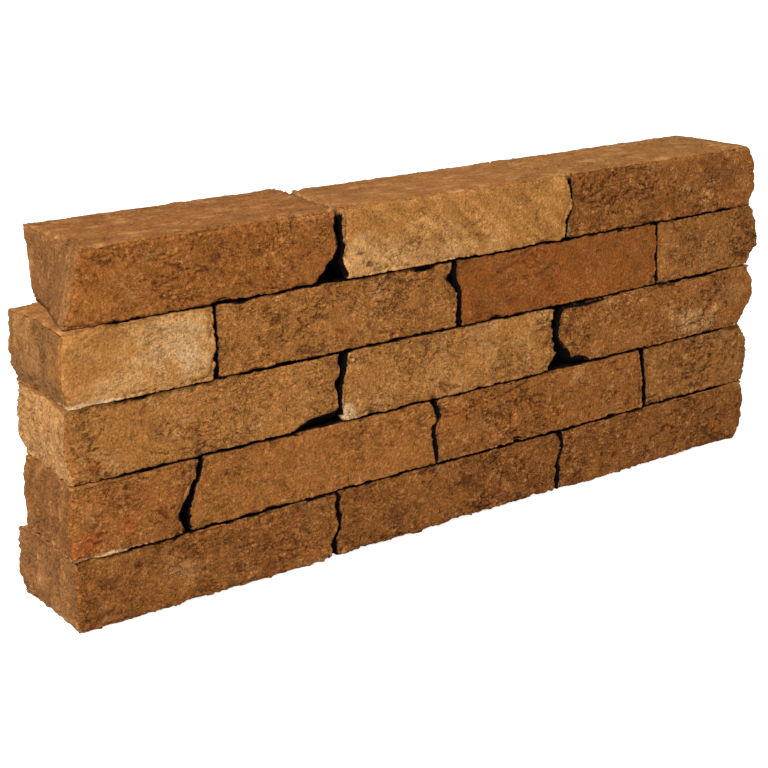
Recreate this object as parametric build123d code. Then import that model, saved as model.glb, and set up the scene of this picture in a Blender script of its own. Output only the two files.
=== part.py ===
# A dry-laid stack of hand-moulded bricks: five courses in stretcher bond, three stretchers in the first,
# third and fifth course, and two stretchers between half bats in the second and fourth.
# X runs along the stack, Y from the front face to the back, Z up from the bed that it stands on.
import os
from collections import namedtuple
from math import cos, pi, sin, sqrt

from build123d import *

# Driving dimensions, in millimetres
brick_length = 250.0
brick_depth = 100.0
brick_height = 60.0
perpend_gap = 4.0  # usual opening between two bricks of a course
corner_radius = 3.0  # worn corner between a bed and an end, seen from the front
bed_arris = 2.0  # height worn off the front and back faces along a bed that faces another brick
open_arris = 5.0  # the same along the top of the stack, which nothing covers
perpend_arris = 0.8  # length worn off the front and back faces at an end that faces another brick
outer_arris = 4.0  # the same at the two ends of the stack, which nothing covers
arris_depth = 4.0  # how far that wear reaches in from the front and back faces
bed_strike = 0.5  # what striking the two beds flat takes off the worn outline

# Facets round a worn corner, and turns round a worn arris as shares of a quarter turn
corner_facets = 3
arris_turn_shares = (0.0, 0.5, 1.0)
# Heights at which an end's wander and opening are given, from its lower corner to its upper one
end_height_shares = (0.0, 0.25, 0.5, 0.75, 1.0)
# Depths, from the front face to the back, at which the hollows of a broken end are given
break_depth_shares = (0.33, 0.68)

# A line between two bricks, or at an end of the stack. Its place is a share of the brick's length. Its
# wander sideways is in shares of the brick's height, its opening in shares of the usual gap, and its skew,
# from front to back, in shares of the brick's depth. Its twist is what the lower corner adds to that skew.
# Its breaks are the hollows of an end that shows, by depth and height, in shares of the brick's height.
Joint = namedtuple(
    "Joint",
    "place_share wander_shares skew_share opening_shares twist_share break_shares",
    defaults=[(0.0,) * len(end_height_shares), 0.0, ()],
)
# A brick's name, how deep it is and how far its face stands back, in shares of the brick's depth
Brick = namedtuple("Brick", "name depth_share setback_share")
# A shell-shaped spall on an arris: its place along the brick, and its width and rise in shares of the
# brick's height. Its two sides say which arris it is on.
Spall = namedtuple("Spall", "place_share width_share rise_share y_side z_side")

# The courses from the bottom up, each as its joints and bricks from left to right
courses = [
    (
        [
            Joint(
                -0.022,
                (0.05, 0.0, 0.0, 0.0, 0.03),
                0.02,
                break_shares=((0.02, 0.05, 0.02, 0.04, 0.01), (0.04, 0.02, 0.06, 0.03, 0.04)),
            ),
            Joint(0.964, (-0.04, -0.07, 0.05, 0.02, 0.0), 0.02, (1.0, 0.8, 0.3, 0.25, 0.25)),
            Joint(1.984, (-0.04, -0.03, -0.03, 0.06, 0.01), -0.02, (0.7, 0.45, 0.4, 0.4, 0.45)),
            Joint(
                3.024,
                (-0.15, -0.05, -0.02, 0.0, -0.08),
                -0.03,
                break_shares=((0.03, 0.01, 0.05, 0.06, 0.03), (0.05, 0.04, 0.01, 0.04, 0.02)),
            ),
        ],
        [
            Brick("course_1_stretcher_left", 1.03, 0.0),
            Brick("course_1_stretcher_middle", 1.0, 0.01),
            Brick("course_1_stretcher_right", 1.0, 0.0),
        ],
    ),
    (
        [
            Joint(
                -0.04,
                (0.03, 0.0, 0.0, 0.02, 0.06),
                0.09,
                break_shares=((0.05, 0.06, 0.03, 0.05, 0.02), (0.02, 0.04, 0.05, 0.01, 0.04)),
            ),
            Joint(0.4, (-0.07, -0.13, -0.03, 0.09, 0.17), 0.05, (1.0, 2.25, 1.75, 1.0, 0.75)),
            Joint(1.392, (0.02, 0.0, -0.06, 0.04, -0.04), -0.03, (0.3, 0.3, 0.45, 0.4, 0.9)),
            Joint(2.42, (0.04, 0.04, 0.01, -0.03, -0.06), 0.02, (0.8, 0.6, 0.6, 0.7, 0.6)),
            Joint(
                3.028,
                (-0.05, -0.02, 0.0, -0.02, -0.18),
                -0.04,
                break_shares=((0.02, 0.05, 0.04, 0.01, 0.03), (0.05, 0.06, 0.02, 0.05, 0.01)),
            ),
        ],
        [
            Brick("course_2_half_bat_left", 0.95, -0.02),
            Brick("course_2_stretcher_left", 0.98, 0.01),
            Brick("course_2_stretcher_right", 1.0, 0.0),
            Brick("course_2_half_bat_right", 0.97, 0.02),
        ],
    ),
    (
        [
            Joint(
                -0.03,
                (0.08, 0.02, 0.0, 0.0, 0.03),
                0.08,
                break_shares=((0.01, 0.03, 0.05, 0.03, 0.05), (0.04, 0.06, 0.04, 0.02, 0.03)),
            ),
            Joint(0.984, (0.0, -0.02, -0.03, 0.03, 0.05), 0.03, (0.5, 0.5, 1.0, 1.25, 1.5)),
            Joint(1.956, (0.08, 0.09, -0.03, -0.04, 0.03), -0.05, (8.0, 3.75, 2.1, 2.25, 3.25)),
            Joint(
                3.042,
                (-0.33, -0.13, 0.0, -0.03, -0.15),
                -0.08,
                break_shares=((0.04, 0.02, 0.04, 0.06, 0.04), (0.01, 0.05, 0.06, 0.02, 0.04)),
            ),
        ],
        [
            Brick("course_3_stretcher_left", 0.95, 0.01),
            Brick("course_3_stretcher_middle", 1.0, -0.01),
            Brick("course_3_stretcher_right", 0.98, 0.0),
        ],
    ),
    (
        [
            Joint(
                -0.032,
                (0.08, 0.0, 0.0, 0.02, 0.03),
                0.04,
                break_shares=((0.04, 0.02, 0.05, 0.02, 0.04), (0.06, 0.03, 0.02, 0.05, 0.06)),
            ),
            Joint(0.508, (-0.01, 0.0, 0.0, 0.0, 0.0), 0.0, (0.9, 0.6, 0.4, 0.4, 0.6)),
            Joint(1.48, (0.04, 0.03, 0.05, -0.1, -0.06), 0.03, (0.8, 0.6, 0.5, 1.8, 0.9)),
            Joint(2.46, (0.03, 0.01, -0.01, 0.0, -0.03), -0.02, (0.6, 0.4, 0.4, 0.3, 0.5)),
            Joint(
                3.056,
                (-0.23, 0.0, -0.03, -0.07, -0.23),
                -0.05,
                break_shares=((0.05, 0.04, 0.02, 0.05, 0.01), (0.03, 0.06, 0.05, 0.03, 0.05)),
            ),
        ],
        [
            Brick("course_4_half_bat_left", 0.97, -0.02),
            Brick("course_4_stretcher_left", 1.0, 0.01),
            Brick("course_4_stretcher_right", 0.98, 0.0),
            Brick("course_4_half_bat_right", 1.0, 0.01),
        ],
    ),
    (
        [
            Joint(
                0.036,
                (-0.2, -0.12, -0.05, 0.0, 0.05),
                0.09,
                twist_share=0.2,
                break_shares=((0.03, 0.05, 0.03, 0.02, 0.03), (0.05, 0.02, 0.04, 0.05, 0.02)),
            ),
            Joint(0.98, (-0.11, -0.05, 0.04, -0.01, 0.0), 0.15, (7.25, 2.9, 1.25, 1.75, 1.5)),
            Joint(1.996, (-0.06, -0.04, 0.07, 0.04, -0.02), -0.15, (0.5, 0.4, 0.3, 0.3, 0.5)),
            Joint(
                3.018,
                (-0.13, 0.0, -0.03, -0.05, -0.22),
                -0.02,
                break_shares=((0.02, 0.04, 0.06, 0.04, 0.02), (0.05, 0.01, 0.03, 0.06, 0.04)),
            ),
        ],
        [
            Brick("course_5_stretcher_left", 1.1, -0.01),
            Brick("course_5_stretcher_middle", 0.96, -0.02),
            Brick("course_5_stretcher_right", 0.95, 0.0),
        ],
    ),
]

# Sides of a brick
front, back, bottom, top = -1, 1, -1, 1

# Spalls along the arrises, by brick
spalls = {
    "course_1_stretcher_left": [
        Spall(0.17, 0.45, 0.06, front, bottom),
        Spall(0.55, 0.25, 0.05, front, bottom),
        Spall(0.3, 0.3, 0.05, front, top),
        Spall(0.7, 0.6, 0.07, back, top),
    ],
    "course_1_stretcher_middle": [
        Spall(0.55, 0.3, 0.07, front, bottom),
        Spall(0.2, 0.25, 0.05, front, bottom),
        Spall(0.8, 0.35, 0.05, front, top),
        Spall(0.35, 0.4, 0.06, back, bottom),
    ],
    "course_1_stretcher_right": [
        Spall(0.26, 0.3, 0.06, front, bottom),
        Spall(0.62, 0.4, 0.05, front, bottom),
        Spall(0.93, 0.4, 0.09, front, top),
        Spall(0.5, 0.5, 0.06, back, top),
    ],
    "course_2_half_bat_left": [
        Spall(0.16, 0.4, 0.07, front, bottom),
        Spall(0.6, 0.25, 0.05, front, top),
        Spall(0.4, 0.4, 0.07, back, top),
    ],
    "course_2_stretcher_left": [
        Spall(0.3, 0.35, 0.06, front, bottom),
        Spall(0.42, 0.3, 0.05, front, top),
        Spall(0.8, 0.5, 0.06, back, bottom),
    ],
    "course_2_stretcher_right": [
        Spall(0.37, 0.2, 0.1, front, bottom),
        Spall(0.83, 0.25, 0.06, front, bottom),
        Spall(0.25, 0.5, 0.06, back, top),
    ],
    "course_2_half_bat_right": [
        Spall(0.85, 0.5, 0.1, front, top),
        Spall(0.35, 0.25, 0.05, front, bottom),
        Spall(0.5, 0.4, 0.06, back, bottom),
    ],
    "course_3_stretcher_left": [
        Spall(0.99, 1.7, 0.2, front, bottom),
        Spall(0.26, 0.35, 0.06, front, top),
        Spall(0.6, 0.5, 0.06, back, top),
    ],
    "course_3_stretcher_middle": [
        Spall(0.33, 1.1, 0.05, front, bottom),
        Spall(0.13, 0.2, 0.08, front, bottom),
        Spall(0.63, 0.3, 0.05, front, top),
        Spall(0.2, 0.6, 0.07, back, bottom),
    ],
    "course_3_stretcher_right": [
        Spall(0.09, 0.7, 0.15, front, bottom),
        Spall(0.12, 1.6, 0.09, front, top),
        Spall(0.74, 0.35, 0.06, front, bottom),
        Spall(0.45, 0.5, 0.07, back, top),
    ],
    "course_4_half_bat_left": [
        Spall(0.2, 0.4, 0.06, front, bottom),
        Spall(0.55, 0.4, 0.06, back, bottom),
    ],
    "course_4_stretcher_left": [
        Spall(0.1, 0.45, 0.07, front, top),
        Spall(0.85, 0.6, 0.09, front, top),
        Spall(0.15, 0.3, 0.05, front, bottom),
        Spall(0.45, 0.5, 0.06, back, bottom),
    ],
    "course_4_stretcher_right": [
        Spall(0.18, 0.35, 0.07, front, bottom),
        Spall(0.77, 0.4, 0.05, front, top),
        Spall(0.65, 0.5, 0.07, back, top),
    ],
    "course_4_half_bat_right": [
        Spall(0.9, 0.4, 0.08, front, bottom),
        Spall(0.3, 0.4, 0.06, back, top),
    ],
    "course_5_stretcher_left": [
        Spall(0.53, 0.4, 0.08, front, bottom),
        Spall(0.85, 0.5, 0.07, front, bottom),
        Spall(0.72, 0.35, 0.04, front, top),
        Spall(0.3, 0.5, 0.06, back, top),
    ],
    "course_5_stretcher_middle": [
        Spall(0.88, 0.5, 0.07, front, bottom),
        Spall(0.2, 0.15, 0.06, front, bottom),
        Spall(0.68, 0.35, 0.04, front, top),
        Spall(0.22, 0.7, 0.08, back, top),
    ],
    "course_5_stretcher_right": [
        Spall(0.97, 0.9, 0.1, front, top),
        Spall(0.985, 1.1, 0.12, back, top),
        Spall(0.24, 2.0, 0.09, back, top),
        Spall(0.93, 0.35, 0.05, front, bottom),
        Spall(0.56, 0.5, 0.05, front, top),
        Spall(0.25, 0.3, 0.06, front, bottom),
        Spall(0.8, 0.35, 0.06, front, bottom),
    ],
}


def end_wear(joint):
    """What is worn off a brick's face at this joint: more where no other brick covers its end."""
    return perpend_arris if any(joint.opening_shares) else outer_arris


def end_line(joint, side, depth_share, inset, low, high):
    """Points up a brick's end: side is 1 where the joint is on the brick's left and -1 on its right."""
    whole = (0.0,) * len(end_height_shares)
    breaks = dict(zip(break_depth_shares, joint.break_shares)).get(depth_share, whole)
    rows = zip(end_height_shares, joint.wander_shares, joint.opening_shares, breaks)
    points = []
    for height, wander, opening, hollow in rows:
        skew = (joint.skew_share + joint.twist_share * (1 - height)) * brick_depth * depth_share
        x = joint.place_share * brick_length + wander * brick_height + skew
        x += side * (opening * perpend_gap / 2 + inset + hollow * brick_height)
        points.append((x, low + height * (high - low)))
    return points


def corner(end_point, x_side, z_side):
    """Points round a worn corner from the bed to the end, from the end's own last point."""
    x = end_point[0] - x_side * corner_radius
    z = end_point[1]
    turns = [step * pi / 2 / corner_facets for step in range(corner_facets)]
    return [(x + x_side * corner_radius * sin(t), z + z_side * corner_radius * cos(t)) for t in turns]


def section(left, right, top_arris, depth_share, wear):
    """A brick's outline seen from the front, less the wear of its arrises: all of it at 1, none at 0."""
    low = bed_arris * wear - bed_strike + corner_radius
    high = brick_height - top_arris * wear + bed_strike - corner_radius
    left_points = end_line(left, 1, depth_share, end_wear(left) * wear, low, high)
    right_points = end_line(right, -1, depth_share, end_wear(right) * wear, low, high)
    return Polyline(
        *corner(right_points[0], 1, -1),
        *right_points,
        *reversed(corner(right_points[-1], 1, 1)),
        *corner(left_points[-1], -1, 1),
        *reversed(left_points),
        *reversed(corner(left_points[0], -1, -1)),
        close=True,
    )


def spall_cut(spall, x, depth, face):
    """The ball that hollows out a spall, with its centre off the arris on the brick's outer side."""
    width = spall.width_share * brick_height
    scoop = spall.rise_share * brick_height / sqrt(2)
    radius = (width**2 / 4 + scoop**2) / (2 * scoop)
    away = (radius - scoop) / sqrt(2)
    y = face + (depth if spall.y_side == back else 0) + spall.y_side * away
    z = (brick_height if spall.z_side == top else 0) + spall.z_side * away
    return Pos(x, y, z) * Sphere(radius)


def make_brick(brick, left, right, top_arris):
    depth = brick.depth_share * brick_depth
    face = brick.setback_share * brick_depth
    turns = [share * pi / 2 for share in arris_turn_shares]
    worn = [(arris_depth * (1 - cos(turn)) / depth, 1 - sin(turn)) for turn in turns]
    broken = break_depth_shares if left.break_shares or right.break_shares else ()
    stations = worn + [(share, 0) for share in broken] + [(1 - share, wear) for share, wear in reversed(worn)]
    wires = [
        (Pos(0, face + share * depth, 0) * (Plane.XZ * section(left, right, top_arris, share, wear))).wire()
        for share, wear in stations
    ]
    start, end = left.place_share * brick_length, right.place_share * brick_length
    slab = Box(2 * (end - start), 2 * depth, brick_height, align=(Align.CENTER, Align.CENTER, Align.MIN))
    body = Solid.make_loft(wires, ruled=True) & (Pos((start + end) / 2, face + depth / 2, 0) * slab)
    for spall in spalls.get(brick.name, []):
        body = body - spall_cut(spall, start + spall.place_share * (end - start), depth, face)
    return body


def make_stack():
    made = {}
    for course, (joints, bricks) in enumerate(courses):
        top_arris = open_arris if course == len(courses) - 1 else bed_arris
        for brick, left, right in zip(bricks, joints, joints[1:]):
            made[brick.name] = Pos(0, 0, course * brick_height) * make_brick(brick, left, right, top_arris)
    box = Compound(list(made.values())).bounding_box()
    centre = Pos(-box.center().X, -box.center().Y, -box.min.Z)
    return {name: centre * solid for name, solid in made.items()}


os.makedirs("parts", exist_ok=True)
for name, solid in make_stack().items():
    export_step(solid, f"parts/{name}.step")
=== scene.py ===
import math

import bmesh
import bpy
import numpy as np
from mathutils import Matrix, Vector


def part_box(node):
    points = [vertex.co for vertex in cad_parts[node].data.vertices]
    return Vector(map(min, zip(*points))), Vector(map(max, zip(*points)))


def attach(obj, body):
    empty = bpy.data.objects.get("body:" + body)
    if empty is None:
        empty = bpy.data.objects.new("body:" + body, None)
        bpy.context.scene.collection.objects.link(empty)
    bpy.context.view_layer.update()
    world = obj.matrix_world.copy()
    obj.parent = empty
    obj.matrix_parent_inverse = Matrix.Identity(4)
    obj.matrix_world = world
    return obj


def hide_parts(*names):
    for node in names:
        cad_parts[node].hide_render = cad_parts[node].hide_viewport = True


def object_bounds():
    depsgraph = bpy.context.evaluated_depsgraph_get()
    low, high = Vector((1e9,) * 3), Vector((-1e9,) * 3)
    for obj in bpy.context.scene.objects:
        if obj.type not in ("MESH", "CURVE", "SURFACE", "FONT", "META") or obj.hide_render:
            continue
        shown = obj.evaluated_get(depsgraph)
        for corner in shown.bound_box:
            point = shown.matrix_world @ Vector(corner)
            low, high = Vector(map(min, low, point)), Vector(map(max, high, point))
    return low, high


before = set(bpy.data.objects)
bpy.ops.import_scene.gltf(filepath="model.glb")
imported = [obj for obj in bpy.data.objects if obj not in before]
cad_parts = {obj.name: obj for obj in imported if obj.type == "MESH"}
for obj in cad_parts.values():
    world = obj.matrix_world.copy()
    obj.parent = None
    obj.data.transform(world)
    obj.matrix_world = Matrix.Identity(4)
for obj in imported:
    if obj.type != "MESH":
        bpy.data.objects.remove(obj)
cadLow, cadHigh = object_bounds()
mm = 0.001
print("frame loaded:", len(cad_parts), "bricks")

# The bricks' surface, in millimetres unless a note says otherwise; a pair is where an effect starts and ends
skinLook = {
    "voxel": 1.3,
    "weld": 0.01,
    "inset": 0.5,  # how far the whole skin stands in from the solid, which its lumps never leave
    "insetBlend": 0.5,  # how softly the lumps stop at the solid
    "swell": 0.9,  # slow waviness of a face
    "clod": 1.5,  # lumps of the moulded clay, with creases between them
    "crumb": 0.9,  # sandy crust
    "pitDepth": 1.5,
    "creaseDepth": 1.4,
    "biteDepth": 2.0,  # bits broken out along the arrises
    "chipDepth": 3.0,  # larger chips here and there along the bed joints
    "nib": 0.6,  # how far the unbroken arris stands out
    "arrisRound": 2.4,  # how far the open arrises outside the joints are worn down
    "ragged": 1.9,  # unevenness of the beds and ends inside the joints
    "fray": 2.0,  # notches along the arrises of the ends
    "tornEnd": 2.0,  # unevenness of the broken ends that show
    "closedEnd": (0.35, -0.15),  # unevenness of an end inside a perpend, out and in
    "jointStart": 1.0,  # how far under the surface a ray to the next brick starts
    "jointReach": 34.0,  # a surface with a neighbour nearer than this is inside a joint
    "arrisReach": 9.0,  # and so is a worn arris with one nearer than this
    "spallFall": (1.6, 2.8),  # an arris worn this far down is painted with the joint's shade
    "outerEnd": (60.0, 32.0),  # the beds close up this near to the two ends of the stack
    "topLight": (3.0, 7.0),  # light falls this far into the joints of the top course
    "footing": (3.0, 1.0),  # height of the underside that stands on the ground
    "settled": (5.0, 13.0),  # the underside lies flat this far in from the faces
    "footChip": (8.0, 4.0),  # the lowest arris chips more easily under this height
    "endSpan": (18.0, 7.0),  # length of an end that its wear and notches take up
    "midSpan": (-1.0, 1.0),  # where the left end's wear gives way to the right end's
    "hiddenEdge": 6.5,  # covered beds keep their full detail this far in from the faces
    "hiddenKeep": 0.03,  # share of the triangles that the hidden beds keep
}

# The clay, with tones by name, shares from 0 to 1 and depths in millimetres
clayLook = {
    "pale": ("straw", 0.55),
    "ruddy": ("brick red", 0.5),
    "deep": ("char", 0.45),
    "bed": ("brown", "dun", 0.35),
    "bedCover": 0.8,
    "end": ("dun", 0.6),
    "scrape": 0.2,
    "patchDepth": 20.0,  # how far behind the front face a patch reaches
    "bumpDepth": 1.1,
    "roughness": 0.95,
    "specular": 0.06,
}

seedStep = (1.0, 0.37, 0.0)  # how far a seed of 1 moves every pattern, in metres

# Clay tones, 0 to 255
clayTones = {
    "umber": (126, 76, 33),
    "russet": (140, 79, 29),
    "brown": (147, 92, 42),
    "ochre": (162, 109, 54),
    "buff": (180, 127, 68),
    "straw": (210, 163, 108),
    "cream": (228, 192, 142),
    "dun": (140, 98, 60),
    "loam": (124, 84, 48),
    "brick red": (152, 72, 30),
    "char": (72, 35, 20),
    # painted shade inside the joints
    "joint": (9, 5, 4),
}

# One row for each brick: two tones and how far it leans to the second, how much of each mark it has and how
# crumbly it is. Some have tones for their bed or ends, diagonal scrapes, and the wear of the left and right
# end in millimetres, below zero where the end stands out. A patch has its tone, its place along and up the
# face as shares, half width and half height in millimetres, and strength.
bricks = {
    "course_1_stretcher_left": dict(
        seed=11, tones=("umber", "brown", 0.6), pale=0.3, ruddy=0.3, deep=0.5, rough=1.0,
        endWear=(-0.9, 0),
        patches=[("char", 0.22, 0.75, 4, 3, 0.6), ("char", 0.12, 0.62, 10, 7, 0.5),
                 ("char", 0.58, 0.3, 8, 6, 0.5), ("char", 0.72, 0.2, 8, 6, 0.5),
                 ("char", 0.62, 0.62, 22, 9, 0.15)]),
    "course_1_stretcher_middle": dict(
        seed=12, tones=("umber", "brown", 0.3), pale=0.25, ruddy=0.3, deep=0.5, rough=1.3,
        endWear=(0, -0.4),
        patches=[("char", 0.26, 0.4, 18, 12, 0.4), ("char", 0.55, 0.63, 10, 5, 0.6)]),
    "course_1_stretcher_right": dict(
        seed=13, tones=("umber", "brown", 0.25), pale=0.3, ruddy=0.25, deep=0.45, rough=1.15,
        endWear=(-0.4, 0)),
    "course_2_half_bat_left": dict(
        seed=21, tones=("brown", "umber", 0.15), pale=0.3, ruddy=0.5, deep=0.4, rough=1.0,
        end=("loam", 0.6),
        patches=[("cream", 0.28, 0.02, 30, 2.4, 0.6), ("brick red", 0.42, 0.35, 9, 7, 0.5),
                 ("brick red", 0.12, 0.2, 16, 11, 0.5)]),
    "course_2_stretcher_left": dict(
        seed=22, tones=("brown", "ochre", 0.05), pale=0.25, ruddy=0.3, deep=0.35, rough=0.65,
        endWear=(0, -0.5)),
    "course_2_stretcher_right": dict(
        seed=23, tones=("brown", "umber", 0.15), pale=0.3, ruddy=0.4, deep=0.4, rough=1.1,
        endWear=(-0.5, 1)),
    "course_2_half_bat_right": dict(
        seed=24, tones=("umber", "ochre", 0.45), pale=0.3, ruddy=0.25, deep=0.5, rough=1.1,
        endWear=(0.8, 0)),
    "course_3_stretcher_left": dict(
        seed=35, tones=("ochre", "brown", 0.35), pale=0.35, ruddy=0.3, deep=0.3, rough=1.0,
        end=("straw", 0.38), endWear=(-0.9, -0.4),
        patches=[("brick red", 0.1, 0.2, 10, 6, 0.35), ("brick red", 0.42, 0.42, 6, 4, 0.4)]),
    "course_3_stretcher_middle": dict(
        seed=32, tones=("ochre", "brown", 0.15), pale=0.4, ruddy=0.2, deep=0.3, rough=0.9,
        endWear=(-0.3, -1.4),
        patches=[("cream", 0.02, 0.1, 16, 10, 0.6)]),
    "course_3_stretcher_right": dict(
        seed=33, tones=("brown", "umber", 0.15), pale=0.25, ruddy=0.25, deep=0.5, rough=1.2,
        endWear=(-1.8, 0),
        patches=[("straw", 0.68, 0.25, 34, 15, 0.35), ("straw", 0.85, 0.6, 26, 14, 0.12)]),
    "course_4_half_bat_left": dict(
        seed=41, tones=("ochre", "buff", 0.35), pale=0.4, ruddy=0.15, deep=0.35, rough=0.4,
        end=("loam", 0.8), endWear=(-0.6, -0.3),
        patches=[("cream", 0.7, 0.62, 34, 22, 0.3), ("cream", 0.86, 0.3, 18, 15, 0.25),
                 ("straw", 0.35, 0.2, 34, 10, 0.4), ("umber", 0.3, 0.82, 16, 8, 0.35),
                 ("brown", 0.6, 0.75, 10, 7, 0.4), ("cream", 0.16, 0.02, 40, 2.6, 0.95),
                 ("brown", 0.08, 0.5, 22, 26, 0.5)]),
    "course_4_stretcher_left": dict(
        seed=42, tones=("brown", "ochre", 0.4), pale=0.3, ruddy=0.35, deep=0.4, rough=0.9,
        endWear=(0, -0.5)),
    "course_4_stretcher_right": dict(
        seed=43, tones=("russet", "umber", 0.65), pale=0.1, ruddy=0.5, deep=0.45, rough=0.6,
        endWear=(-0.4, 0),
        patches=[("brick red", 0.45, 0.3, 36, 14, 0.1)]),
    "course_4_half_bat_right": dict(
        seed=44, tones=("umber", "ochre", 0.45), pale=0.25, ruddy=0.3, deep=0.45, rough=1.0),
    "course_5_stretcher_left": dict(
        seed=51, tones=("brown", "russet", 0.3), pale=0.2, ruddy=0.3, deep=0.3, rough=0.85,
        endWear=(-1.4, -1.8),
        patches=[("char", 0.5, 0.62, 6, 5, 0.6)]),
    "course_5_stretcher_middle": dict(
        seed=52, tones=("buff", "ochre", 0.97), pale=0.4, ruddy=0.15, deep=0.25, rough=0.5,
        scrape=0.7, endWear=(-1.8, 0),
        patches=[("straw", 0.08, 0.25, 42, 20, 0.4), ("straw", 0.35, 0.15, 60, 12, 0.3),
                 ("char", 0.065, 0.34, 5, 1.3, 0.7), ("char", 0.1, 0.17, 4, 3, 0.7)]),
    "course_5_stretcher_right": dict(
        seed=53, tones=("umber", "brown", 0.6), pale=0.3, ruddy=0.4, deep=0.45, rough=1.1,
        bed=("ochre", "dun", 0.3),
        patches=[("cream", 0.03, 0.1, 14, 9, 0.6), ("char", 0.8, 0.6, 36, 18, 0.3),
                 ("char", 0.3, 0.55, 26, 13, 0.2)]),
}

# Light and floor, in metres and watts
studio = {
    "worldStrength": 0.38,
    "keyPower": 725.0,
    "keySize": 1.8,
    "keyPlace": (-4.75, -2.95, 5.2),
    "keyTarget": (-0.1, 0.0, 0.12),
    "floorColour": (0.8, 0.8, 0.8),
    "floorLift": 0.85,  # plain white that only the camera sees on the floor
    "floorSize": 12.0,
    "floorDrop": 0.0002,  # keeps the floor clear of the lowest bed
}

# The camera that the photograph's perspective gives, in degrees, pixels and millimetres
cameraLook = {
    "azimuth": -37.8436,
    "elevation": 17.197,
    "roll": 0.1889,
    "focalPixels": 1688.37,
    "framePixels": 768,
    "sensor": 36.0,
    "target": (-87.52, -53.5, 145.05),
    "distance": 1410.7,
    "clip": (0.05, 50.0),  # in metres
}


def linear(tone):
    values = [channel / 255 for channel in tone]
    return [v / 12.92 if v <= 0.04045 else ((v + 0.055) / 1.055) ** 2.4 for v in values]


def fullTone(tone):
    return [*linear(clayTones[tone]), 1]


def mixTones(first, second, share):
    return [a + (b - a) * share for a, b in zip(linear(clayTones[first]), linear(clayTones[second]))]


# Helpers for node trees: a value is either a socket to link or a number to set
def feed(tree, socket, value):
    if isinstance(value, bpy.types.NodeSocket):
        tree.links.new(value, socket)
    else:
        socket.default_value = value


def add(tree, kind, inputs=None, **settings):
    node = tree.nodes.new(kind)
    for name, value in settings.items():
        setattr(node, name, value)
    for name, value in (inputs or {}).items():
        feed(tree, node.inputs[name], value)
    return node


def calc(tree, operation, *values):
    node = add(tree, "ShaderNodeMath", operation=operation)
    for socket, value in zip(node.inputs, values):
        feed(tree, socket, value)
    return node.outputs[0]


def times(tree, *values):
    return calc(tree, "MULTIPLY", *values)


def plus(tree, *values):
    return calc(tree, "ADD", *values)


def minus(tree, *values):
    return calc(tree, "SUBTRACT", *values)


def larger(tree, *values):
    return calc(tree, "MAXIMUM", *values)


def vectorCalc(tree, operation, *values, result="Vector"):
    node = add(tree, "ShaderNodeVectorMath", operation=operation)
    for socket, value in zip(node.inputs, values):
        feed(tree, socket, value)
    return node.outputs[result]


def scaled(tree, vector, factor):
    node = add(tree, "ShaderNodeVectorMath", {"Scale": factor}, operation="SCALE")
    feed(tree, node.inputs[0], vector)
    return node.outputs[0]


def xyz(tree, x, y, z):
    return add(tree, "ShaderNodeCombineXYZ", {"X": x, "Y": y, "Z": z}).outputs[0]


def ramp(tree, value, low, high, start=0.0, end=1.0):
    inputs = {"Value": value, "From Min": low, "From Max": high, "To Min": start, "To Max": end}
    return add(tree, "ShaderNodeMapRange", inputs, interpolation_type="SMOOTHSTEP").outputs[0]


def noise(tree, vector, scale, detail=2.0, roughness=0.5, distortion=0.0):
    inputs = {"Vector": vector, "Scale": scale, "Detail": detail, "Roughness": roughness,
              "Distortion": distortion}
    return add(tree, "ShaderNodeTexNoise", inputs).outputs[0]


def billow(tree, vector, scale, detail=2.0, distortion=0.0):
    # rounded lumps with sharp creases between them, about 0 to 1
    field = noise(tree, vector, scale, detail, 0.5, distortion)
    return times(tree, calc(tree, "ABSOLUTE", minus(tree, field, 0.5)), 3.0)


def rarePits(tree, vector, scale, rarity, wide):
    cell = add(tree, "ShaderNodeTexVoronoi", {"Vector": vector, "Scale": scale})
    chance = add(tree, "ShaderNodeSeparateXYZ", {"Vector": cell.outputs["Color"]}).outputs["X"]
    chosen = calc(tree, "GREATER_THAN", chance, rarity)
    return times(tree, chosen, ramp(tree, cell.outputs["Distance"], wide, wide * 0.3))


def mixValue(tree, factor, first, second):
    node = add(tree, "ShaderNodeMix", data_type="FLOAT")
    for place, value in ((0, factor), (2, first), (3, second)):
        feed(tree, node.inputs[place], value)
    return node.outputs[0]


def mixColour(tree, factor, first, second, blend="MIX"):
    node = add(tree, "ShaderNodeMix", data_type="RGBA", blend_type=blend)
    for place, value in ((0, factor), (6, first), (7, second)):
        feed(tree, node.inputs[place], value)
    return node.outputs[2]


def newTree(name, kind, inputs, outputs):
    tree = bpy.data.node_groups.new(name, kind)
    for direction, sockets in (("INPUT", inputs), ("OUTPUT", outputs)):
        for socket, socketKind in sockets:
            tree.interface.new_socket(name=socket, in_out=direction, socket_type="NodeSocket" + socketKind)
    return tree, tree.nodes.new("NodeGroupInput").outputs, tree.nodes.new("NodeGroupOutput").inputs


# The rough fired skin that Geometry Nodes lay over each brick, with its inputs and the values that they take
skinLengths = {
    "Swell": "swell", "Clod": "clod", "Crumb": "crumb", "Pit Depth": "pitDepth",
    "Crease Depth": "creaseDepth", "Bite Depth": "biteDepth", "Chip Depth": "chipDepth", "Nib": "nib",
    "Arris Round": "arrisRound",
    "Ragged": "ragged", "Fray": "fray", "Torn End": "tornEnd", "Inset": "inset", "Joint Start": "jointStart",
    "Joint Reach": "jointReach", "Arris Reach": "arrisReach",
}


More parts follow.
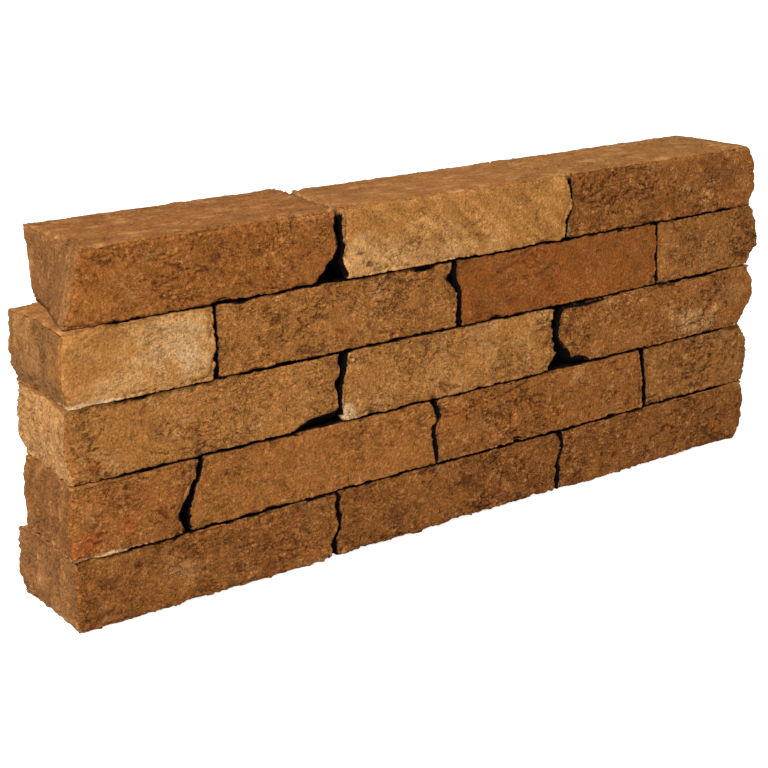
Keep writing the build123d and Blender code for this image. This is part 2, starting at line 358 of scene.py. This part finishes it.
def makeSkinTree():
    sizes = ("Seed", "Rough", *skinLengths, "Left Wear", "Right Wear")
    inputs = [("Geometry", "Geometry"), ("Neighbours", "Object"), ("Clay", "Material")]
    inputs += [("Stack Low", "Vector"), ("Stack High", "Vector")]
    inputs += [(name, "Float") for name in sizes]
    tree, put, out = newTree("roughFiredSkin", "GeometryNodeTree", inputs, [("Geometry", "Geometry")])

    place = add(tree, "GeometryNodeInputPosition").outputs[0]
    coord = vectorCalc(tree, "ADD", place, scaled(tree, seedStep, put["Seed"]))
    rawNormal = add(tree, "GeometryNodeInputNormal").outputs[0]

    def span(value, name, start=0.0, end=1.0):
        near, far = skinLook[name]
        return ramp(tree, value, near * mm, far * mm, start, end)

    def blurred(value, rounds, kind="FLOAT_VECTOR"):
        node = add(tree, "GeometryNodeBlurAttribute", {"Iterations": rounds}, data_type=kind)
        feed(tree, [s for s in node.inputs if s.enabled][0], value)
        return [s for s in node.outputs if s.enabled][0]

    normal = vectorCalc(tree, "NORMALIZE", blurred(rawNormal, 2))
    wear = minus(tree, 1.0, vectorCalc(tree, "LENGTH", blurred(rawNormal, 6), result="Value"))
    arris = ramp(tree, wear, 0.03, 0.18)
    side = add(tree, "ShaderNodeSeparateXYZ", {"Vector": normal}).outputs
    endMask = ramp(tree, calc(tree, "ABSOLUTE", side["X"]), 0.5, 0.85)
    topMask = ramp(tree, side["Z"], 0.5, 0.85)

    # a ray from just under the surface finds the brick on the other side of a joint
    others = add(tree, "GeometryNodeObjectInfo", {"Object": put["Neighbours"]}).outputs["Geometry"]
    start = vectorCalc(tree, "SUBTRACT", place, scaled(tree, normal, put["Joint Start"]))

    def facesBrick(direction, reach):
        rayInputs = {"Target Geometry": others, "Source Position": start, "Ray Direction": direction}
        return add(tree, "GeometryNodeRaycast", {**rayInputs, "Ray Length": reach}).outputs["Is Hit"]

    upright = calc(tree, "ABSOLUTE", side["Z"])
    closed = blurred(facesBrick(normal, put["Joint Reach"]), 1, "FLOAT")
    leaning = [vectorCalc(tree, "ADD", normal, (lean, 0, 0)) for lean in (-1, 1)]
    leaning = [facesBrick(direction, put["Joint Reach"]) for direction in leaning]
    walled = blurred(times(tree, *leaning), 1, "FLOAT")
    tear = noise(tree, coord, 80.0, 4.0, 0.6)
    along = facesBrick(xyz(tree, calc(tree, "SIGN", side["X"]), 0.0, 0.0), put["Joint Reach"])
    turned = calc(tree, "MULTIPLY_ADD", tear, 0.5, calc(tree, "ABSOLUTE", side["X"]))
    along = times(tree, along, ramp(tree, turned, 0.95, 1.07))
    over = facesBrick(xyz(tree, 0.0, 0.0, calc(tree, "SIGN", side["Z"])), put["Arris Reach"])
    over = times(tree, over, ramp(tree, upright, 0.4, 0.6))

    # beds lie close at the two ends of the stack, and light falls into its top
    spot = add(tree, "ShaderNodeSeparateXYZ", {"Vector": place}).outputs
    bounds = add(tree, "GeometryNodeBoundBox", {"Geometry": put["Geometry"]}).outputs
    least, most = (add(tree, "ShaderNodeSeparateXYZ", {"Vector": bounds[corner]}).outputs
                   for corner in ("Min", "Max"))

    def depth(axis):
        below = minus(tree, most[axis], spot[axis])
        return calc(tree, "MINIMUM", below, minus(tree, spot[axis], least[axis]))

    fall = depth("Z")
    # painted joint shade on arrises under a neighbour: in spots, and wherever they are worn deep
    arrisShadeSpots = ramp(tree, noise(tree, coord, 55.0, 4.0, 0.65), 0.5, 0.58)
    spallShade = times(tree, over, larger(tree, arrisShadeSpots, span(fall, "spallFall")))
    stack = add(tree, "ShaderNodeSeparateXYZ", {"Vector": put["Stack High"]}).outputs
    outer = minus(tree, stack["X"], calc(tree, "ABSOLUTE", spot["X"]))
    outer = span(outer, "outerEnd")
    tight = times(tree, ramp(tree, upright, 0.3, 0.7), outer)
    dim = span(minus(tree, stack["Z"], spot["Z"]), "topLight")
    standing = times(tree, span(spot["Z"], "footing"), ramp(tree, side["Z"], -0.6, -0.8))

    # relief of the faces: smooth and lumpy parts, pits and creases
    patch = times(tree, ramp(tree, noise(tree, coord, 17.0, 1.0), 0.4, 0.62, 0.5, 1.15), put["Rough"])
    calm = times(tree, patch, ramp(tree, topMask, 0.0, 1.0, 1.0, 0.4))
    swell = times(tree, minus(tree, noise(tree, coord, 15.0, 1.0), 0.5), put["Swell"])
    clod = minus(tree, billow(tree, coord, 60.0, 2.0, 0.6), 0.35)
    crumb = minus(tree, billow(tree, coord, 130.0, 2.0, 1.0), 0.35)
    pit = times(tree, patch, rarePits(tree, coord, 120.0, 0.86, 0.42))
    creasePatch = ramp(tree, noise(tree, coord, 16.0), 0.5, 0.6)
    stretched = vectorCalc(tree, "MULTIPLY", coord, (0.6, 0.6, 1.5))
    creaseLine = calc(tree, "ABSOLUTE", minus(tree, noise(tree, stretched, 42.0, 4.0, 0.5, 0.8), 0.5))
    crease = times(tree, times(tree, creasePatch, put["Rough"]), ramp(tree, creaseLine, 0.03, 0.0))
    crease = times(tree, crease, ramp(tree, topMask, 0.0, 1.0, 1.0, 0.3))

    lumps = plus(tree, times(tree, clod, put["Clod"]), times(tree, crumb, put["Crumb"]))
    relief = plus(tree, times(tree, lumps, calm), swell)
    relief = minus(tree, relief, times(tree, pit, put["Pit Depth"]))
    relief = minus(tree, relief, times(tree, crease, put["Crease Depth"]))
    scraped = noise(tree, vectorCalc(tree, "MULTIPLY", coord, (1.0, 1.0, 0.45)), 62.0, 3.0, 0.5)
    openEnd = times(tree, endMask, ramp(tree, scraped, 0.3, 0.7, -1.0, 0.25))
    relief = plus(tree, relief, times(tree, openEnd, put["Torn End"]))
    relief = calc(tree, "SMOOTH_MIN", minus(tree, relief, put["Inset"]), 0.0, skinLook["insetBlend"] * mm)
    # beds and ends inside the joints, and the underside
    parted = ramp(tree, noise(tree, coord, 24.0, 2.0), 0.4, 0.66, 0.25, 1.6)
    settled = times(tree, standing, span(depth("Y"), "settled"))
    parted = times(tree, parted, ramp(tree, larger(tree, tight, settled), 0.0, 1.0, 1.0, 0.2))
    inward = ramp(tree, tear, 0.3, 0.68, -0.1, -1.0)
    inward = times(tree, inward, times(tree, put["Ragged"], parted))
    closedEnd = ramp(tree, tear, 0.3, 0.68, *(size * mm for size in skinLook["closedEnd"]))
    inward = mixValue(tree, endMask, inward, closedEnd)
    face = mixValue(tree, larger(tree, closed, standing), relief, inward)
    # bits and chips out of the arrises
    bite = times(tree, arris, ramp(tree, noise(tree, coord, 105.0, 4.0, 0.65), 0.47, 0.63))
    foot = times(tree, span(spot["Z"], "footChip"), ramp(tree, side["Z"], -0.2, -0.6))
    easy = larger(tree, topMask, foot)
    chipField = calc(tree, "MULTIPLY_ADD", easy, 0.05, noise(tree, coord, 48.0, 4.0, 0.65))
    chip = times(tree, arris, ramp(tree, chipField, 0.56, 0.7))
    bite = times(tree, bite, ramp(tree, outer, 0.0, 1.0, 1.0, 1.6))
    nib = times(tree, minus(tree, arris, bite), put["Nib"])
    move = minus(tree, plus(tree, face, nib), times(tree, bite, put["Bite Depth"]))
    move = minus(tree, move, times(tree, chip, put["Chip Depth"]))
    wide = minus(tree, 1.0, vectorCalc(tree, "LENGTH", blurred(rawNormal, 24), result="Value"))
    free = times(tree, ramp(tree, blurred(closed, 24, "FLOAT"), 0.25, 0.0), ramp(tree, wide, 0.02, 0.25))
    free = times(tree, free, ramp(tree, noise(tree, coord, 52.0, 4.0, 0.72), 0.38, 0.62, 0.1, 2.0))
    move = minus(tree, move, times(tree, free, put["Arris Round"]))
    # painted shade inside the joints: on surfaces that face a neighbouring brick and on worn arrises and
    # chips beside a joint, less where light falls into the top course and on beds near the two ends of the
    # stack
    # painted joint shade in chips beside a joint
    lip = times(tree, chip, ramp(tree, blurred(closed, 6, "FLOAT"), 0.1, 0.4, 0.0, 0.9))
    inside = larger(tree, larger(tree, closed, walled), larger(tree, along, spallShade))
    inside = times(tree, larger(tree, inside, lip), dim)
    joint = times(tree, inside, ramp(tree, tight, 0.0, 1.0, 1.0, 0.12))

    shape = put["Geometry"]
    stored = (("marks", "FLOAT_VECTOR", xyz(tree, pit, crease, arris)),
              ("facing", "FLOAT_VECTOR", xyz(tree, endMask, topMask, calc(tree, "DIVIDE", face, mm))),
              ("joint", "FLOAT", joint))
    for name, kind, value in stored:
        store = add(tree, "GeometryNodeStoreNamedAttribute", {"Geometry": shape, "Name": name},
                    data_type=kind, domain="POINT")
        feed(tree, [s for s in store.inputs if s.enabled and s.name == "Value"][0], value)
        shape = store.outputs[0]
    # the ends wear along the stack, and nothing leaves the stack's box
    moved = vectorCalc(tree, "ADD", place, scaled(tree, normal, move))
    middle = calc(tree, "MULTIPLY_ADD", plus(tree, least["X"], most["X"]), -0.5, spot["X"])
    rightWear = times(tree, put["Right Wear"], -1.0)
    shift = mixValue(tree, span(middle, "midSpan"), put["Left Wear"], rightWear)
    nearEnd = span(depth("X"), "endSpan")
    shift = times(tree, shift, times(tree, nearEnd, ramp(tree, tear, 0.3, 0.68, 0.5, 1.4)))
    nick = times(tree, ramp(tree, noise(tree, coord, 115.0, 3.0, 0.6), 0.5, 0.66), put["Fray"])
    nick = times(tree, times(tree, nick, nearEnd), span(middle, "midSpan", 1.0, -1.0))
    moved = vectorCalc(tree, "ADD", moved, xyz(tree, plus(tree, shift, nick), 0.0, 0.0))
    moved = vectorCalc(tree, "MAXIMUM", moved, put["Stack Low"])
    moved = vectorCalc(tree, "MINIMUM", moved, put["Stack High"])
    shape = add(tree, "GeometryNodeSetPosition", {"Geometry": shape, "Position": moved}).outputs[0]
    shape = add(tree, "GeometryNodeSetShadeSmooth", {"Geometry": shape, "Shade Smooth": True}).outputs[0]
    shape = add(tree, "GeometryNodeRealizeInstances", {"Geometry": shape}).outputs[0]
    shape = add(tree, "GeometryNodeSetMaterial", {"Geometry": shape, "Material": put["Clay"]}).outputs[0]
    tree.links.new(shape, out[0])
    return tree


# Shader groups that every brick's clay shares
def makeMottleGroup():
    inputs = [("Vector", "Vector")] + [(name, "Color") for name in ("Body", "Pale", "Ruddy", "Deep")]
    inputs += [(name + " Cover", "Float") for name in ("Pale", "Ruddy", "Deep")]
    tree, put, out = newTree("mottledClay", "ShaderNodeTree", inputs, [("Color", "Color")])
    colour = put["Body"]
    blotches = (("Pale", 21.0, 3.1, 0.6), ("Ruddy", 46.0, 7.7, 0.6), ("Deep", 50.0, 12.3, 0.38))
    for name, scale, shift, strength in blotches:
        moved = vectorCalc(tree, "ADD", put["Vector"], (shift, shift, shift))
        field = noise(tree, moved, scale, 6.0, 0.72, 0.3)
        edge = minus(tree, 0.76, times(tree, put[name + " Cover"], 0.42))
        mask = ramp(tree, field, minus(tree, edge, 0.1), plus(tree, edge, 0.1), 0.0, strength)
        colour = mixColour(tree, mask, colour, put[name])
    tree.links.new(colour, out[0])
    return tree


def makePatchGroup():
    inputs = [("Vector", "Vector"), ("Centre", "Vector"), ("Reach", "Vector"), ("Strength", "Float")]
    tree, put, out = newTree("raggedPatch", "ShaderNodeTree", inputs, [("Mask", "Float")])
    apart = vectorCalc(tree, "SUBTRACT", put["Vector"], put["Centre"])
    apart = vectorCalc(tree, "DIVIDE", apart, put["Reach"])
    far = vectorCalc(tree, "LENGTH", apart, result="Value")
    torn = calc(tree, "MULTIPLY_ADD", noise(tree, put["Vector"], 80.0, 6.0, 0.72), 3.0, -1.5)
    fine = calc(tree, "MULTIPLY_ADD", noise(tree, put["Vector"], 260.0, 2.0, 0.6), 1.2, -0.6)
    mask = ramp(tree, plus(tree, far, plus(tree, torn, fine)), 1.2, 0.5)
    tree.links.new(times(tree, mask, put["Strength"]), out[0])
    return tree


def makeCrustGroup():
    inputs = [("Vector", "Vector"), ("Color", "Color"), ("Marks", "Vector")]
    inputs += [(name, "Float") for name in ("Relief", "Top", "End", "Rough", "Scrape", "Joint")]
    inputs += [(name, "Color") for name in ("Dirt", "Pale", "Gap")]
    outputs = [("Color", "Color"), ("Height", "Float")]
    tree, put, out = newTree("sandyCrust", "ShaderNodeTree", inputs, outputs)
    vector = put["Vector"]
    marks = add(tree, "ShaderNodeSeparateXYZ", {"Vector": put["Marks"]}).outputs

    def thinLines(spots, scale, detail, distortion, width):
        field = minus(tree, noise(tree, spots, scale, detail, 0.55, distortion), 0.5)
        return ramp(tree, calc(tree, "ABSOLUTE", field), width, 0.0)

    # smooth and lumpy parts of a face lie where the skin has them too
    patch = times(tree, ramp(tree, noise(tree, vector, 17.0, 1.0), 0.4, 0.62, 0.65, 1.05), put["Rough"])
    patch = times(tree, patch, ramp(tree, larger(tree, put["Top"], put["End"]), 0.0, 1.0, 1.0, 0.5))
    clod = billow(tree, vector, 105.0, 3.0, 0.6)
    sand = noise(tree, vector, 400.0, 2.0, 0.65)
    grit = ramp(tree, noise(tree, vector, 540.0, 1.0), 0.4, 0.6)
    folded = vectorCalc(tree, "MULTIPLY", vector, (0.6, 1.0, 1.15))
    elsewhere = vectorCalc(tree, "ADD", vector, (5.0, 5.0, 5.0))
    short = ramp(tree, noise(tree, elsewhere, 55.0, 3.0), 0.4, 0.6, 0.35, 1.0)
    worm = times(tree, times(tree, patch, short), thinLines(folded, 110.0, 3.0, 1.1, 0.036))
    thread = times(tree, patch, thinLines(folded, 235.0, 2.0, 1.0, 0.06))
    pore = times(tree, patch, times(tree, rarePits(tree, vector, 210.0, 0.8, 0.4), 0.65))
    streak = noise(tree, vectorCalc(tree, "MULTIPLY", vector, (0.55, 1.0, 1.0)), 70.0, 6.0, 0.7)

    # light and dark of the grain, which follows its bump, so that it paints shade in the creases and hollows
    # and highlight on the lumps; streaks on the top, scrapes on ends and faces
    tone = calc(tree, "MULTIPLY_ADD", sand, 0.75, 0.62)
    tone = plus(tree, tone, calc(tree, "MULTIPLY_ADD", grit, 0.24, -0.12))
    tone = plus(tree, tone, times(tree, patch, calc(tree, "MULTIPLY_ADD", clod, 0.32, 0.04)))
    tone = minus(tree, tone, times(tree, worm, 0.3))
    tone = minus(tree, tone, times(tree, thread, 0.15))
    # painted shade in the hollows of the skin's relief and painted highlight on its high points
    tone = plus(tree, tone, ramp(tree, put["Relief"], -1.4, 0.1, -0.16, 0.12))
    tone = plus(tree, tone, times(tree, put["Top"], ramp(tree, streak, 0.3, 0.7, -0.2, 0.14)))
    scrape = noise(tree, vectorCalc(tree, "MULTIPLY", vector, (1.0, 1.0, 0.4)), 75.0, 5.0, 0.65)
    tone = plus(tree, tone, times(tree, put["End"], ramp(tree, scrape, 0.3, 0.7, -0.14, 0.12)))
    turnedBy = {"Vector": vector, "Rotation": (0.0, 0.65, 0.0), "Scale": (5.0, 1.0, 1.0)}
    slant = add(tree, "ShaderNodeMapping", turnedBy, vector_type="TEXTURE").outputs[0]
    struck = ramp(tree, noise(tree, slant, 110.0, 4.0, 0.65), 0.3, 0.7, -0.3, 0.3)
    struck = times(tree, struck, ramp(tree, put["Top"], 0.0, 1.0, 1.0, 0.0))
    tone = plus(tree, tone, times(tree, put["Scrape"], struck))
    tone = larger(tree, tone, 0.3)
    colour = mixColour(tree, 1.0, put["Color"], xyz(tree, tone, tone, tone), "MULTIPLY")
    # painted shade: the darkest grain goes toward the shade tone
    colour = mixColour(tree, ramp(tree, tone, 0.85, 0.4, 0.0, 0.35), colour, put["Dirt"])
    # painted highlight on the grain that stands out and along the arrises, pale dust streaks on the top,
    # painted shade in the pits, pores and creases and in the joints
    bright = ramp(tree, tone, 1.08, 1.5, 0.0, 0.38)
    # painted highlight in streaks along the arrises
    arrisHighlight = times(tree, marks["Z"], ramp(tree, noise(tree, vector, 60.0, 3.0), 0.45, 0.7, 0.0, 0.14))
    dusty = times(tree, put["Top"], ramp(tree, streak, 0.52, 0.7, 0.0, 0.4))
    pale = larger(tree, larger(tree, bright, arrisHighlight), dusty)
    colour = mixColour(tree, pale, colour, put["Pale"])
    # painted shade in the pits, creases and pores
    hollowShade = larger(tree, times(tree, marks["X"], 0.44), times(tree, marks["Y"], 0.62))
    hollowShade = times(tree, hollowShade, ramp(tree, put["End"], 0.0, 1.0, 1.0, 0.35))
    colour = mixColour(tree, larger(tree, hollowShade, pore), colour, put["Dirt"])
    # painted shade inside the joints
    colour = mixColour(tree, put["Joint"], colour, put["Gap"])
    # the bump
    height = plus(tree, times(tree, clod, 0.5), times(tree, sand, 0.7))
    height = plus(tree, height, times(tree, grit, 0.12))
    hole = plus(tree, plus(tree, worm, times(tree, thread, 0.4)), pore)
    tree.links.new(colour, out["Color"])
    tree.links.new(minus(tree, height, hole), out["Height"])
    return tree


def makeClay(node, look, groups):
    material = bpy.data.materials.new("clay_" + node)
    material.use_nodes = True
    tree = material.node_tree
    tree.nodes.clear()
    place = add(tree, "ShaderNodeTexCoord").outputs["Object"]
    seedShift = [step * look["seed"] for step in seedStep]
    vector = add(tree, "ShaderNodeMapping", {"Vector": place, "Location": seedShift}).outputs[0]
    marks = add(tree, "ShaderNodeAttribute", attribute_name="marks").outputs["Vector"]
    facing = add(tree, "ShaderNodeAttribute", attribute_name="facing").outputs["Vector"]
    facing = add(tree, "ShaderNodeSeparateXYZ", {"Vector": facing}).outputs
    joint = add(tree, "ShaderNodeAttribute", attribute_name="joint").outputs["Fac"]

    first = look["tones"][0]
    inputs = {"Vector": vector, "Body": [*mixTones(*look["tones"]), 1]}
    for mark in ("pale", "ruddy", "deep"):
        inputs[mark.title()] = [*mixTones(first, *clayLook[mark]), 1]
        inputs[mark.title() + " Cover"] = look[mark]
    colour = add(tree, "ShaderNodeGroup", inputs, node_tree=groups["mottle"]).outputs[0]

    # the struck top and the ends have tones of their own
    bedTone = [*mixTones(*look.get("bed", clayLook["bed"])), 1]
    colour = mixColour(tree, times(tree, facing["Y"], clayLook["bedCover"]), colour, bedTone)
    endTone, endCover = look.get("end", clayLook["end"])
    colour = mixColour(tree, times(tree, facing["X"], endCover), colour, fullTone(endTone))

    low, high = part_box(node)
    for tone, along, up, wide, tall, strength in look.get("patches", []):
        centre = (low.x + along * (high.x - low.x), low.y, low.z + up * (high.z - low.z))
        reach = (wide * mm, clayLook["patchDepth"] * mm, tall * mm)
        inputs = {"Vector": place, "Centre": centre, "Reach": reach, "Strength": strength}
        patch = add(tree, "ShaderNodeGroup", inputs, node_tree=groups["patch"])
        colour = mixColour(tree, patch.outputs[0], colour, fullTone(tone))

    # the crust paints shade into hollows and joints and highlight on the grain
    inputs = {"Vector": vector, "Color": colour, "Marks": marks, "Relief": facing["Z"], "Top": facing["Y"],
              "End": facing["X"], "Rough": look["rough"], "Scrape": look.get("scrape", clayLook["scrape"]),
              "Joint": joint, "Dirt": fullTone("char"), "Pale": fullTone("straw"), "Gap": fullTone("joint")}
    crust = add(tree, "ShaderNodeGroup", inputs, node_tree=groups["crust"]).outputs
    inputs = {"Height": crust["Height"], "Strength": 1.0, "Distance": clayLook["bumpDepth"] * mm}
    bump = add(tree, "ShaderNodeBump", inputs).outputs[0]
    inputs = {"Base Color": crust["Color"], "Normal": bump, "Roughness": clayLook["roughness"],
              "Specular IOR Level": clayLook["specular"]}
    shader = add(tree, "ShaderNodeBsdfPrincipled", inputs)
    output = tree.nodes.new("ShaderNodeOutputMaterial")
    tree.links.new(shader.outputs[0], output.inputs[0])
    return material


def bakedMesh(piece):
    depsgraph = bpy.context.evaluated_depsgraph_get()
    mesh = bpy.data.meshes.new_from_object(piece.evaluated_get(depsgraph), depsgraph=depsgraph)
    mesh.name = piece.name
    return mesh


def joinedMesh(name, nodes):
    joined = bmesh.new()
    for node in nodes:
        joined.from_mesh(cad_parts[node].data)
    bmesh.ops.remove_doubles(joined, verts=joined.verts, dist=skinLook["weld"] * mm)
    mesh = bpy.data.meshes.new(name)
    joined.to_mesh(mesh)
    joined.free()
    return mesh


def thinHiddenBeds(piece, low, high):
    mesh = piece.data
    count = len(mesh.vertices)
    spots = np.empty(count * 3, np.float32)
    mesh.vertices.foreach_get("co", spots)
    across = spots.reshape(-1, 3)[:, 1]
    joint = np.empty(count, np.float32)
    mesh.attributes["joint"].data.foreach_get("value", joint)
    edge = skinLook["hiddenEdge"] * mm
    hidden = np.nonzero((joint > 0.5) & (across > low.y + edge) & (across < high.y - edge))[0]
    group = piece.vertex_groups.new(name="hiddenBed")
    group.add(hidden.tolist(), 1.0, "REPLACE")
    thin = piece.modifiers.new("thin", "DECIMATE")
    thin.vertex_group = group.name
    thin.vertex_group_factor = 1000.0  # so that nothing else is thinned
    thin.ratio = 1.0 - (1.0 - skinLook["hiddenKeep"]) * len(hidden) / count
    thinned = bakedMesh(piece)
    piece.modifiers.clear()
    piece.vertex_groups.clear()
    piece.data = thinned


def makeBrick(node, look, skinTree, clay):
    scene = bpy.context.scene
    piece = bpy.data.objects.new("brick_" + node, joinedMesh("brick_" + node, [node]))
    scene.collection.objects.link(piece)
    rest = [name for name in bricks if name != node]
    neighbours = bpy.data.objects.new("neighbours", joinedMesh("neighbours", rest))
    scene.collection.objects.link(neighbours)

    remesh = piece.modifiers.new("clod", "REMESH")
    remesh.mode = "VOXEL"
    remesh.voxel_size = skinLook["voxel"] * mm
    skin = piece.modifiers.new("skin", "NODES")
    skin.node_group = skinTree
    values = {"Seed": float(look["seed"]), "Rough": look["rough"], "Neighbours": neighbours, "Clay": clay,
              "Stack Low": list(cadLow), "Stack High": list(cadHigh)}
    values.update(zip(("Left Wear", "Right Wear"), [wear * mm for wear in look.get("endWear", (0, 0))]))
    values.update({name: skinLook[key] * mm for name, key in skinLengths.items()})
    for item in skinTree.interface.items_tree:
        if item.in_out == "INPUT" and item.name in values:
            skin[item.identifier] = values[item.name]
    mesh = bakedMesh(piece)
    piece.modifiers.clear()
    piece.data = mesh
    bpy.data.objects.remove(neighbours)
    thinHiddenBeds(piece, *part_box(node))
    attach(piece, "root")
    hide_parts(node)
    return piece


def shownRays(tree):
    rays = add(tree, "ShaderNodeLightPath").outputs
    shown = larger(tree, rays["Is Camera Ray"], rays["Is Glossy Ray"])
    return larger(tree, shown, rays["Is Transmission Ray"])


def makeFloor():
    bpy.ops.mesh.primitive_plane_add(size=studio["floorSize"], location=(0, 0, -studio["floorDrop"]))
    floor = bpy.context.object
    floor.name = "floor"
    material = bpy.data.materials.new("pale_floor")
    material.use_nodes = True
    tree = material.node_tree
    tree.nodes.clear()
    diffuse = add(tree, "ShaderNodeBsdfDiffuse", {"Color": (*studio["floorColour"], 1)})
    lift = times(tree, shownRays(tree), studio["floorLift"])
    glow = add(tree, "ShaderNodeEmission", {"Color": (1, 1, 1, 1), "Strength": lift})
    seen = add(tree, "ShaderNodeAddShader", {0: diffuse.outputs[0], 1: glow.outputs[0]})
    output = tree.nodes.new("ShaderNodeOutputMaterial")
    tree.links.new(seen.outputs[0], output.inputs[0])
    floor.data.materials.append(material)


def makeLight():
    world = bpy.data.worlds.new("studio")
    bpy.context.scene.world = world
    world.use_nodes = True
    tree = world.node_tree
    tree.nodes.clear()
    strength = ramp(tree, shownRays(tree), 0.0, 1.0, studio["worldStrength"], 1.0)
    sky = add(tree, "ShaderNodeBackground", {"Color": (1, 1, 1, 1), "Strength": strength})
    output = tree.nodes.new("ShaderNodeOutputWorld")
    tree.links.new(sky.outputs[0], output.inputs[0])

    lamp = bpy.data.lights.new("key", "AREA")
    lamp.energy = studio["keyPower"]
    lamp.shape = "DISK"
    lamp.size = studio["keySize"]
    key = bpy.data.objects.new("key", lamp)
    bpy.context.scene.collection.objects.link(key)
    key.location = studio["keyPlace"]
    aim = Vector(studio["keyTarget"]) - Vector(studio["keyPlace"])
    key.rotation_euler = aim.to_track_quat("-Z", "Y").to_euler()


def makeCamera():
    turn, lift, roll = (math.radians(cameraLook[name]) for name in ("azimuth", "elevation", "roll"))
    back = Vector((math.sin(turn) * math.cos(lift), -math.cos(turn) * math.cos(lift), math.sin(lift)))
    right = Vector((math.cos(turn), math.sin(turn), 0))
    up = back.cross(right)
    rolledRight = right * math.cos(roll) - up * math.sin(roll)
    rolledUp = right * math.sin(roll) + up * math.cos(roll)
    lens = bpy.data.cameras.new("camera")
    lens.sensor_width = cameraLook["sensor"]
    lens.lens = cameraLook["focalPixels"] / cameraLook["framePixels"] * cameraLook["sensor"]
    lens.clip_start, lens.clip_end = cameraLook["clip"]
    camera = bpy.data.objects.new("camera", lens)
    bpy.context.scene.collection.objects.link(camera)
    place = Vector(cameraLook["target"]) * mm + back * cameraLook["distance"] * mm
    turned = Matrix((rolledRight, rolledUp, back)).transposed().to_4x4()
    camera.matrix_world = Matrix.Translation(place) @ turned
    bpy.context.scene.camera = camera


bpy.context.scene.view_settings.view_transform = "Standard"
makeCamera()
makeFloor()
makeLight()
print("camera, floor and light set")

skinTree = makeSkinTree()
groups = {"mottle": makeMottleGroup(), "patch": makePatchGroup(), "crust": makeCrustGroup()}
triangles = 0
for node, look in bricks.items():
    piece = makeBrick(node, look, skinTree, makeClay(node, look, groups))
    piece.data.calc_loop_triangles()
    triangles += len(piece.data.loop_triangles)
    print("laid", node, len(piece.data.loop_triangles), "triangles")
print("stack made:", triangles, "triangles")
